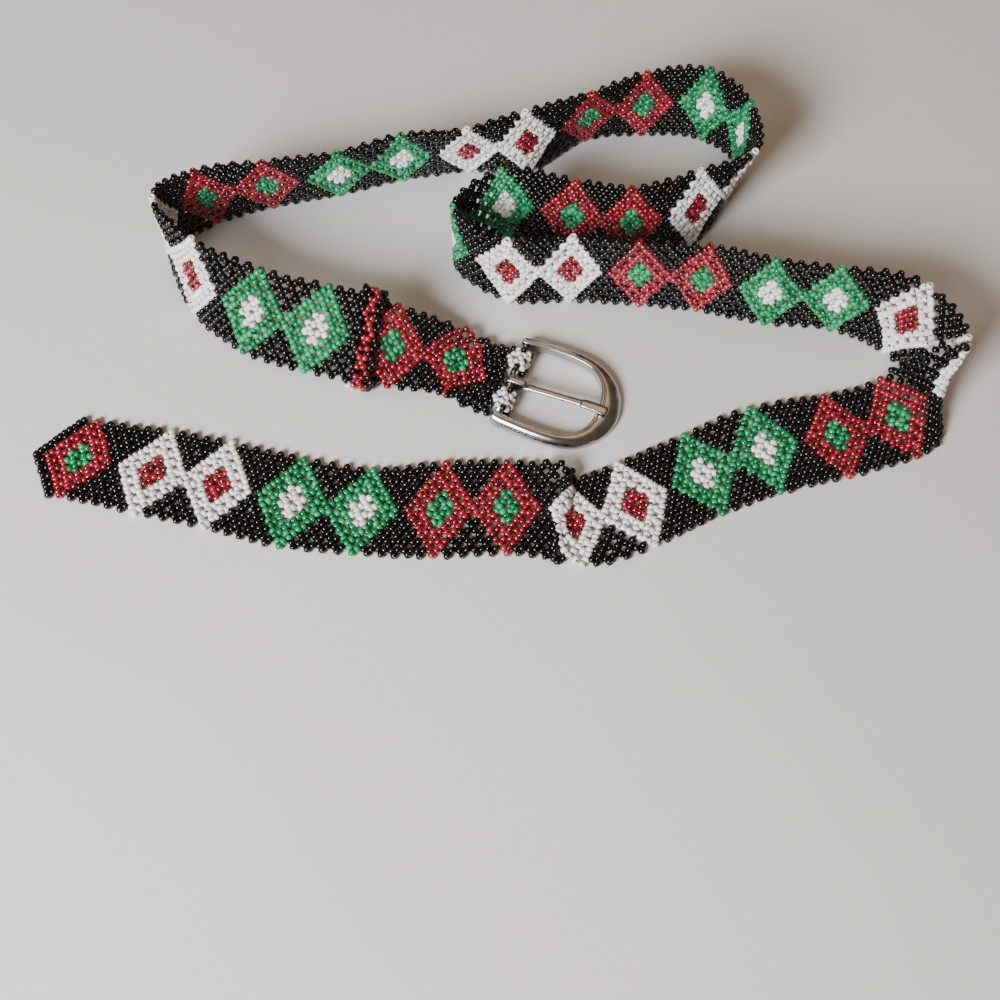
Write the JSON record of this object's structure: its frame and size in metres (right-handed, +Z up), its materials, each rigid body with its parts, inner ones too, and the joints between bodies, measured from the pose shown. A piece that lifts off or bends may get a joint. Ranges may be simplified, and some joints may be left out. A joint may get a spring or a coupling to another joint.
{
  "type": "beaded belt",
  "caption": "Long woven bead strap lying in loose bends, pointed at the free end, with a keeper loop and a D-shaped metal buckle with a hinged prong.",
  "frame": {"origin": "middle of the footprint, on the floor", "axes": "+Z up from the floor, +X towards the right of the layout, +Y away from the viewer; the pointed free end lies at low X, low Y"},
  "size_m": [0.3394, 0.199, 0.0366],
  "materials": {
    "beadwork": "glossy glass seed beads: black net with white, green and red diamonds",
    "keeper_beads": "glossy glass seed beads, black with a red zigzag",
    "buckle_metal": "polished plated cast metal with fine scratches"
  },
  "bodies": {
    "belt": {"strap": "beadwork", "keeper_loop": "keeper_beads", "buckle_frame": "buckle_metal"},
    "prong": {"buckle_prong": "buckle_metal"}
  },
  "joints": [
    {"name": "prong_hinge", "type": "hinge", "parent": "belt", "child": "prong", "pos_m": [0.00622, -0.02604, 0.0044], "axis": [-0.3503, -0.9366, 0], "range_deg": [0, 120]}
  ]
}
